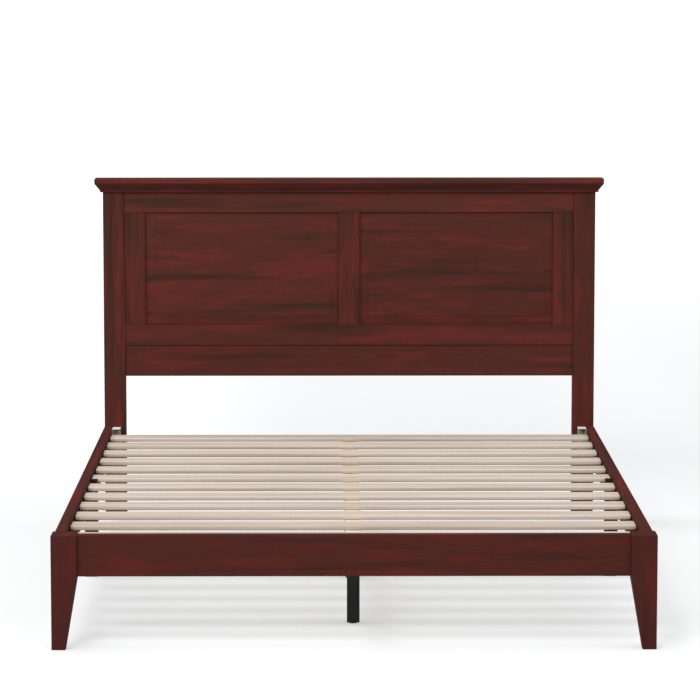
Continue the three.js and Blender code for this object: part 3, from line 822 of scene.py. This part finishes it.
@dataclass
class Headboard(StainedWork):
    """The posts, cap, moulding, panel frame, raised panels and lower board."""

    post_ease: float = 2.5 * MM
    board_ease: float = 1.2 * MM
    lower_ease: float = 2.0 * MM
    moulding_ease: float = 1.0 * MM
    panel_bevel: float = 30.0 * MM
    panel_edge_depth: float = 6.0 * MM
    panel_step: float = 1.0 * MM
    panel_ease: float = 0.6 * MM
    smooth_degrees: float = 20.0
    seat: float = 0.3 * MM

    def build(self) -> None:
        """Models every piece of the headboard."""
        self.posts()
        self.cap()
        self.moulding()
        self.rails()
        self.stiles()
        self.panels()

    def posts(self) -> None:
        """Models the two posts, which run from the floor to the cap."""
        for side in Side:
            self.board(f"headboard_post_{side.word}", Grain.Z, self.post_ease)

    def cap(self) -> None:
        """Models the cap board with all its edges rounded."""
        piece = block("headboard_cap_wood", *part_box("headboard_cap"))
        bevel(piece, self.board_ease, lambda first, second: True)
        shade(piece)
        self.stain(piece, "headboard_cap", Grain.X)

    def moulding(self) -> None:
        """Models the three mitred lengths of moulding under the cap."""
        for word, grain in (("front", Grain.X), ("left", Grain.Y), ("right", Grain.Y)):
            node = f"cap_moulding_{word}"
            piece = merged_copy(f"{node}_wood", self.bench.nodes[node])
            bevel(piece, self.moulding_ease, runs_along(grain.value))
            shade(piece)
            self.stain(piece, node, grain)

    def rails(self) -> None:
        """Models the two rails of the panel frame and the lower board between the posts."""
        left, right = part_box("headboard_post_left")[1].x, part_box("headboard_post_right")[0].x
        for node in ("headboard_top_rail", "headboard_bottom_rail", "headboard_lower_board"):
            low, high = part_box(node)
            low.x, high.x = left + self.seat, right - self.seat
            ease = self.board_ease
            if node == "headboard_lower_board":
                high.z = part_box("headboard_bottom_rail")[0].z - self.seat
                ease = self.lower_ease
            self.board(node, Grain.X, ease, (low, high))

    def stiles(self) -> None:
        """Models the three stiles between the rails."""
        bottom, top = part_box("headboard_bottom_rail")[1].z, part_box("headboard_top_rail")[0].z
        for node in ("headboard_stile_left", "headboard_stile_right", "headboard_centre_stile"):
            low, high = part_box(node)
            low.z, high.z = bottom + self.seat, top - self.seat
            self.board(node, Grain.Z, self.board_ease, (low, high))

    def panels(self) -> None:
        """Models the two raised panels, each from a box whose front is inset and drawn forward."""
        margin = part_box("headboard_centre_stile")[1].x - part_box("headboard_panel_right")[0].x
        for side in Side:
            node = f"headboard_panel_{side.word}"
            low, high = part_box(node)
            edge_front = low.y + self.panel_step + self.panel_edge_depth
            piece = block(f"{node}_wood", Vector((low.x, edge_front, low.z)), high)
            with editing(piece):
                pick_faces(piece, (0, -1, 0))
                bpy.ops.mesh.inset(thickness=margin, depth=0.0)
                bpy.ops.mesh.inset(thickness=self.panel_bevel, depth=0.0)
                bpy.ops.transform.translate(value=(0.0, -self.panel_edge_depth, 0.0))
                bpy.ops.mesh.extrude_region_move(TRANSFORM_OT_translate={"value": (0.0, -self.panel_step, 0.0)})
            bevel(piece, self.panel_ease, lies_at(Y, low.y), FINE_STEPS)
            shade(piece, self.smooth_degrees)
            self.stain(piece, node, Grain.X)


@dataclass
class BedFrame(StainedWork):
    """The foot legs, foot rail, side rails, ledgers and side legs."""

    leg_ease: float = 1.8 * MM
    leg_top_ease: float = 4.0 * MM
    leg_tip: float = 37.0 * MM
    smooth_degrees: float = 25.0
    long_edge: float = 50.0 * MM
    rail_ease: float = 2.2 * MM
    ledger_ease: float = 1.5 * MM
    side_leg_ease: float = 1.08 * MM

    def build(self) -> None:
        """Models every piece of the frame."""
        self.foot_legs()
        self.foot_rail()
        self.side_rails()
        self.ledgers()
        self.side_legs()

    def is_leg_edge(self, first: Vector, second: Vector) -> bool:
        """Whether an edge is one of a leg's long upright or tapered ones."""
        rise = abs(second.z - first.z)
        return rise > self.long_edge and rise > FACING * (second - first).length

    def foot_legs(self) -> None:
        """Models the two tapered legs, each from a box cut at the rail's underside and narrowed at its tip."""
        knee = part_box("foot_rail")[0].z
        for side in Side:
            node = f"foot_leg_{side.word}"
            low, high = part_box(node)
            piece = block(f"{node}_wood", low, high)
            outer_x = low.x if side is Side.LEFT else high.x
            share = self.leg_tip / (high.x - low.x)
            with editing(piece):
                bpy.ops.mesh.select_all(action="SELECT")
                bpy.ops.mesh.bisect(plane_co=(0, 0, knee), plane_no=(0, 0, 1))
                pick_faces(piece, (0, 0, -1))
                bpy.ops.transform.resize(value=(share, share, 1.0), center_override=(outer_x, low.y, low.z))
            bevel(piece, self.leg_top_ease, lies_at(Z, high.z))
            bevel(piece, self.leg_ease, self.is_leg_edge)
            shade(piece, self.smooth_degrees)
            self.stain(piece, node, Grain.Z)

    def foot_rail(self) -> None:
        """Models the rail between the foot legs."""
        low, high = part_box("foot_rail")
        low.x, high.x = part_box("foot_leg_left")[1].x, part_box("foot_leg_right")[0].x
        self.board("foot_rail", Grain.X, self.rail_ease, (low, high))

    def side_rails(self) -> None:
        """Models the two long rails."""
        for side in Side:
            self.board(f"side_rail_{side.word}", Grain.Y, self.rail_ease)

    def ledgers(self) -> None:
        """Models the strips that the slat ends lie on, two along each side rail."""
        for end, side in product(End, Side):
            node = f"slat_ledger_{end.word}_{side.word}"
            self.board(node, Grain.Y, self.ledger_ease)

    def side_legs(self) -> None:
        """Models the square legs under the side rails from their rebated solids."""
        for side in Side:
            node = f"side_leg_{side.word}"
            piece = merged_copy(f"{node}_wood", self.bench.nodes[node])
            bevel(piece, self.side_leg_ease, runs_along(Z), FINE_STEPS)
            shade(piece)
            self.stain(piece, node, Grain.Z)


@dataclass(frozen=True)
class Screw:
    """The round head of a screw with a cross recess, modelled once and copied."""

    radius: float
    height: float
    recess_radius: float = 2.2 * MM
    recess_width: float = 0.9 * MM
    recess_depth: float = 0.8 * MM
    ease: float = 0.5 * MM
    sides: int = 24

    def model(self, name: str) -> Piece:
        """Models the head, standing on the origin and looking up.

        Args:
            name: The piece's name.

        Returns:
            The new object.
        """
        piece = cylinder(name, self.radius, self.height, self.sides)
        bevel(piece, self.ease, lies_at(Z, self.height))
        for turn in (0.0, pi / 2):
            bpy.ops.mesh.primitive_cube_add(size=1.0, location=(0, 0, self.height), rotation=(0, 0, turn))
            cutter = bpy.context.object
            cutter.scale = (2 * self.recess_radius, self.recess_width, 2 * self.recess_depth)
            settle(cutter)
            cut(piece, cutter)
        shade(piece)
        return piece


@dataclass
class CornerFittings:
    """The formed brackets, their bolts and their screws at the four corners."""

    bench: Bench
    zinc: ZincPlate
    plate: Material | None = None
    foot_bolts: int = 1
    head_bolts: int = 2
    screw_margin_share: float = 0.22
    sheet: float = 3.0 * MM
    bend: float = 4.0 * MM
    bend_steps: int = 4
    rim: float = 0.5 * MM
    rim_degrees: float = 50.0
    washer_height: float = 2.0 * MM
    washer_ease: float = 0.6 * MM
    washer_margin: float = 0.1 * MM
    head_radius: float = 6.8 * MM
    head_length: float = 5.0 * MM
    head_sides: int = 32
    socket_radius: float = 3.6 * MM
    socket_depth: float = 3.0 * MM
    socket_sides: int = 6
    screw: Screw = Screw(4.5 * MM, 2.4 * MM)

    def build(self) -> None:
        """Models the fittings of every corner."""
        self.plate = self.zinc.material("zinc_plate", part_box("corner_bracket_head_left")[1].z)
        bolt = self.bolt_model()
        screw = self.screw.model("bracket_screw_model")
        for end, side in product(End, Side):
            self.bracket(end, side)
            self.bolts(end, side, bolt)
            self.rail_screws(end, side, screw)
        bpy.data.objects.remove(bolt)
        bpy.data.objects.remove(screw)

    def bracket(self, end: End, side: Side) -> None:
        """Models a bracket: a box opened on three sides, bent round its corner and thickened inwards.

        Args:
            end: The end of the bed.
            side: The side of the bed.
        """
        node = f"corner_bracket_{end.word}_{side.word}"
        low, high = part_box(node)
        piece = block(f"{node}_steel", low, high)
        with editing(piece):
            pick_faces(piece, (0, 0, -1), (-side.value, 0, 0), (0, -end.value, 0))
            bpy.ops.mesh.delete(type="FACE")
        corner_x = high.x if side is Side.RIGHT else low.x
        corner_y = high.y if end is End.HEAD else low.y
        walls = (lies_at(X, corner_x), lies_at(Y, corner_y), lies_at(Z, high.z))
        bevel(piece, self.bend, lambda *edge: sum(wall(*edge) for wall in walls) == 2, self.bend_steps)
        apply_modifier(piece, "SOLIDIFY", thickness=self.sheet, offset=-1.0, use_even_offset=True)
        rim = {"width": self.rim, "segments": FINE_STEPS, "angle_limit": radians(self.rim_degrees)}
        apply_modifier(piece, "BEVEL", limit_method="ANGLE", **rim)
        shade(piece)
        self.bench.finish(piece, self.plate, self.zinc.slot, node)

    def bolt_model(self) -> Piece:
        """Models a bolt head: a flange, a round head drawn up from it, and a six-sided socket.

        Returns:
            The head, standing on the origin and looking up.
        """
        low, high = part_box("bracket_bolt_head_left_1")
        radius = (high.x - low.x) / 2
        piece = cylinder("bolt_model", radius, self.washer_height, self.head_sides)
        with editing(piece):
            pick_faces(piece, (0, 0, 1))
            bpy.ops.mesh.inset(thickness=radius - self.head_radius, depth=0.0)
            rise = self.head_length - self.washer_height
            bpy.ops.mesh.extrude_region_move(TRANSFORM_OT_translate={"value": (0.0, 0.0, rise)})
        on_top, on_washer = lies_at(Z, self.head_length), lies_at(Z, self.washer_height)

        def is_rim(first: Vector, second: Vector) -> bool:
            """Whether an edge lies on the top or on the flange's outer rim."""
            outer = first.xy.length > radius - self.washer_margin
            return on_top(first, second) or (outer and on_washer(first, second))

        bevel(piece, self.washer_ease, is_rim)
        socket_base = self.head_length - self.socket_depth
        cut(piece, cylinder("socket", self.socket_radius, 2 * self.socket_depth, self.socket_sides, socket_base))
        shade(piece)
        return piece

    def bolts(self, end: End, side: Side, model: Piece) -> None:
        """Places the bolts on a bracket's post flange.

        Args:
            end: The end of the bed.
            side: The side of the bed.
            model: The bolt head to copy.
        """
        for number in range(1, 1 + (self.head_bolts if end is End.HEAD else self.foot_bolts)):
            node = f"bracket_bolt_{end.word}_{side.word}_{number}"
            low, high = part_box(node)
            place = (low + high) / 2
            place.y = low.y + self.head_length if end is End.HEAD else high.y - self.head_length
            piece = placed_copy(f"{node}_steel", model, place, end.value)
            self.bench.finish(piece, self.plate, self.zinc.slot, node)

    def rail_screws(self, end: End, side: Side, model: Piece) -> None:
        """Places the two screws on a bracket's rail flange, near its lower and upper ends.

        Args:
            end: The end of the bed.
            side: The side of the bed.
            model: The screw head to copy.
        """
        low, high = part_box(f"corner_bracket_{end.word}_{side.word}")
        face = high.x - self.sheet if side is Side.RIGHT else low.x + self.sheet
        for number, share in enumerate((self.screw_margin_share, 1 - self.screw_margin_share), start=1):
            place = Vector((face, (low.y + high.y) / 2, low.z + share * (high.z - low.z)))
            name = f"bracket_screw_{end.word}_{side.word}_{number}"
            self.bench.finish(placed_copy(name, model, place, -side.value, "Y"), self.plate, self.zinc.slot)


@dataclass
class SlatDeck:
    """The slats and the beam under their middle."""

    bench: Bench
    wood: BareWood
    # Lighter than bare pine: partly painted light on the shaded beam.
    pine: BareWood
    slats: int = 12
    corner: float = 6.0 * MM
    corner_steps: int = 5
    edge: float = 4.5 * MM
    edge_steps: int = 4
    beam_ease: float = 2.0 * MM

    def build(self) -> None:
        """Models one slat, copies it along the bed, and models the beam."""
        slat = self.slat_model()
        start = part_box("slat_01")[0]
        for number in range(1, self.slats + 1):
            node = f"slat_{number:02d}"
            piece = placed_copy(f"{node}_wood", slat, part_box(node)[0] - start)
            material = self.wood.material(f"{node}_bare", Grain.X, self.bench.next_shift())
            self.bench.finish(piece, material, self.wood.slot, node)
        bpy.data.objects.remove(slat)
        self.beam()

    def slat_model(self) -> Piece:
        """Models a slat with round corners and round edges.

        Returns:
            The slat, in the place of the first one.
        """
        piece = block("slat_model", *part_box("slat_01"))
        bevel(piece, self.corner, runs_along(Z), self.corner_steps)
        bevel(piece, self.edge, lambda first, second: abs(first.z - second.z) < TOUCH, self.edge_steps)
        shade(piece)
        return piece

    def beam(self) -> None:
        """Models the beam under the middle of the slats."""
        low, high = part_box("centre_beam")
        piece = board("centre_beam_wood", low, high, Grain.Y, self.beam_ease)
        material = self.pine.material("centre_beam_bare", Grain.Y, self.bench.next_shift())
        self.bench.finish(piece, material, self.pine.slot, "centre_beam")


@dataclass
class CentreLegs:
    """The steel legs under the beam, with their plates, plugs, glides and screws."""

    bench: Bench
    steel: PowderCoat
    plastic: MouldedPlastic
    legs: int = 3
    screw_inset: float = 9.0 * MM
    screw: Screw = Screw(4.2 * MM, 2.2 * MM)

    def build(self) -> None:
        """Models every leg from its solids."""
        steel = self.steel.material("black_powder_coat")
        plastic = self.plastic.material("black_moulded_plastic")
        screw = self.screw.model("plate_screw_model")
        for number in range(1, self.legs + 1):
            self.shaped(f"centre_leg_plate_{number}", steel, self.steel.slot)
            self.shaped(f"centre_leg_tube_{number}", steel, self.steel.slot)
            self.shaped(f"centre_leg_plug_{number}", plastic, self.plastic.slot)
            self.shaped(f"levelling_glide_{number}", plastic, self.plastic.slot, f"glide_{number}")
            self.plate_screws(number, screw, steel)
        bpy.data.objects.remove(screw)

    def shaped(self, node: str, material: Material, slot: str, body: str = BED_BODY) -> None:
        """Copies a solid, smooths its round corners and finishes it.

        Args:
            node: The solid to copy.
            material: The finish.
            slot: The record's name of the finish.
            body: The body that it rides on.
        """
        piece = merged_copy(f"{node}_shaped", self.bench.nodes[node])
        shade(piece)
        self.bench.finish(piece, material, slot, node, body=body)

    def plate_screws(self, number: int, model: Piece, material: Material) -> None:
        """Places the four screws of a plate, looking down.

        Args:
            number: The leg's number.
            model: The screw head to copy.
            material: The finish.
        """
        low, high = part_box(f"centre_leg_plate_{number}")
        inset = self.screw_inset
        corners = product((low.x + inset, high.x - inset), (low.y + inset, high.y - inset))
        for count, (x, y) in enumerate(corners, start=1):
            piece = placed_copy(f"plate_screw_{number}_{count}", model, Vector((x, y, low.z)), quarters=2)
            self.bench.finish(piece, material, self.steel.slot)


@dataclass(frozen=True)
class Softbox:
    """A soft rectangular light that looks at the bed.

    The power is in watts; the width and the height run along the light's own X and Y.
    """

    name: str
    power: float
    width: float
    height: float
    place: tuple[float, float, float]

    def build(self, aim_height: float) -> None:
        """Makes the light.

        Args:
            aim_height: The height of the point over the bed's middle that it looks at.
        """
        data = bpy.data.lights.new(self.name, "AREA")
        data.energy = self.power
        data.shape = "RECTANGLE"
        data.size = self.width
        data.size_y = self.height
        light = linked(self.name, data)
        light.location = self.place
        direction = Vector((0.0, 0.0, aim_height)) - light.location
        light.rotation_euler = direction.to_track_quat("-Z", "Y").to_euler()


@dataclass
class Studio:
    """The floor, the lights and the white surroundings."""

    paint: FloorPaint = FloorPaint()
    floor_size: float = 600.0
    floor_drop: float = 0.2 * MM
    sky_rise: Ramp = Ramp(0.0, 0.60, 0.36, 1.56)
    sky_behind: Ramp = Ramp(-0.10, 0.70, 1.0, 0.10)
    seen_white: float = 1.0
    key: Softbox = Softbox("key_light", 240.0, 2.4, 3.0, (-2.5, 1.8, 8.8))
    fill: Softbox = Softbox("fill_light", 520.0, 5.0, 4.0, (-4.5, -10.0, 7.0))
    aim_height: float = 0.4

    def build(self) -> None:
        """Makes the floor, the surroundings and the lights."""
        bpy.context.scene.view_settings.view_transform = "Standard"
        self.floor()
        self.surroundings()
        self.key.build(self.aim_height)
        self.fill.build(self.aim_height)

    def floor(self) -> None:
        """Makes a pale floor, with a painted soft shade round the bed, that isn't part of the bed."""
        bpy.ops.mesh.primitive_plane_add(size=self.floor_size, location=(0, 0, -self.floor_drop))
        floor = bpy.context.object
        floor.name = "studio_floor"
        settle(floor)
        floor.data.materials.append(self.paint.material("studio_floor_paint"))
        log.info("studio floor of %.0f m", self.floor_size)

    def surroundings(self) -> None:
        """Makes surroundings that are seen white, and give more light from above and in front than behind the bed."""
        world = bpy.data.worlds.new("studio_surroundings")
        bpy.context.scene.world = world
        world.use_nodes = True
        graph = Graph(world.node_tree)
        direction = graph.add("ShaderNodeTexCoord").outputs["Generated"]
        parts = graph.feed(graph.add("ShaderNodeSeparateXYZ"), Vector=direction)
        rise, behind = graph.remap(parts.outputs["Z"], self.sky_rise), graph.remap(parts.outputs["Y"], self.sky_behind)
        level = graph.calculate("MULTIPLY", rise, behind)
        lit = graph.feed(graph.add("ShaderNodeBackground"), Color=WHITE, Strength=level)
        white = graph.feed(graph.add("ShaderNodeBackground"), Color=WHITE, Strength=self.seen_white)
        shaders = lit.outputs["Background"], white.outputs["Background"]
        seen = graph.add("ShaderNodeLightPath").outputs["Is Camera Ray"]
        mixed = graph.feed(graph.add("ShaderNodeMixShader"), seen, *shaders)
        graph.feed(graph.add("ShaderNodeOutputWorld"), Surface=mixed.outputs["Shader"])


@dataclass
class ProductCamera:
    """The camera of the photograph: a long lens at the foot of the bed, a little above it."""

    lens_mm: float = 172.86
    sensor_mm: float = 36.0
    x: float = -0.0694
    from_foot: float = 8.7625
    height: float = 1.831
    pitch_degrees: float = 6.705
    yaw_degrees: float = 0.38
    near: float = 0.1
    far: float = 1000.0

    def build(self, foot_y: float) -> None:
        """Makes the camera and hands it to the scene.

        Args:
            foot_y: The place of the front faces of the foot legs.
        """
        data = bpy.data.cameras.new("product_camera")
        data.lens = self.lens_mm
        data.sensor_width = self.sensor_mm
        data.clip_start = self.near
        data.clip_end = self.far
        camera = linked("product_camera", data)
        camera.location = (self.x, foot_y - self.from_foot, self.height)
        turn = radians(90.0 - self.pitch_degrees)
        camera.rotation_euler = (turn, 0.0, -radians(self.yaw_degrees))
        bpy.context.scene.camera = camera


def main() -> None:
    """Builds the bed's sub-assemblies in order, then the studio and the camera."""
    logging.basicConfig(level=logging.INFO, format="%(name)s: %(message)s")
    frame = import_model()
    bench = Bench(frame["nodes"])
    # The headboard's stain is a lighter copy of the frame's: partly the boards' own tone, partly painted light that
    # the lamps here don't give the headboard.
    headboard_stain_with_painted_light = StainedWood(
        deep=(0.034, 0.0125, 0.0075), middle=(0.076, 0.0150, 0.0098), warm=(0.120, 0.0172, 0.0124)
    )
    # The beam's pine is made lighter than bare pine: partly its own pale colour, partly painted light on a beam that
    # lies in the slats' shade.
    pine = BareWood(slot="beam_wood", light=(0.78, 0.65, 0.52), shade=(0.70, 0.57, 0.45), line=(0.56, 0.44, 0.33))
    Headboard(bench, headboard_stain_with_painted_light).build()
    BedFrame(bench, StainedWood()).build()
    CornerFittings(bench, ZincPlate()).build()
    SlatDeck(bench, BareWood(), pine).build()
    CentreLegs(bench, PowderCoat(), MouldedPlastic()).build()
    Studio().build()
    ProductCamera().build(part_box("foot_leg_left")[0].y)


if __name__ == "__main__":
    main()
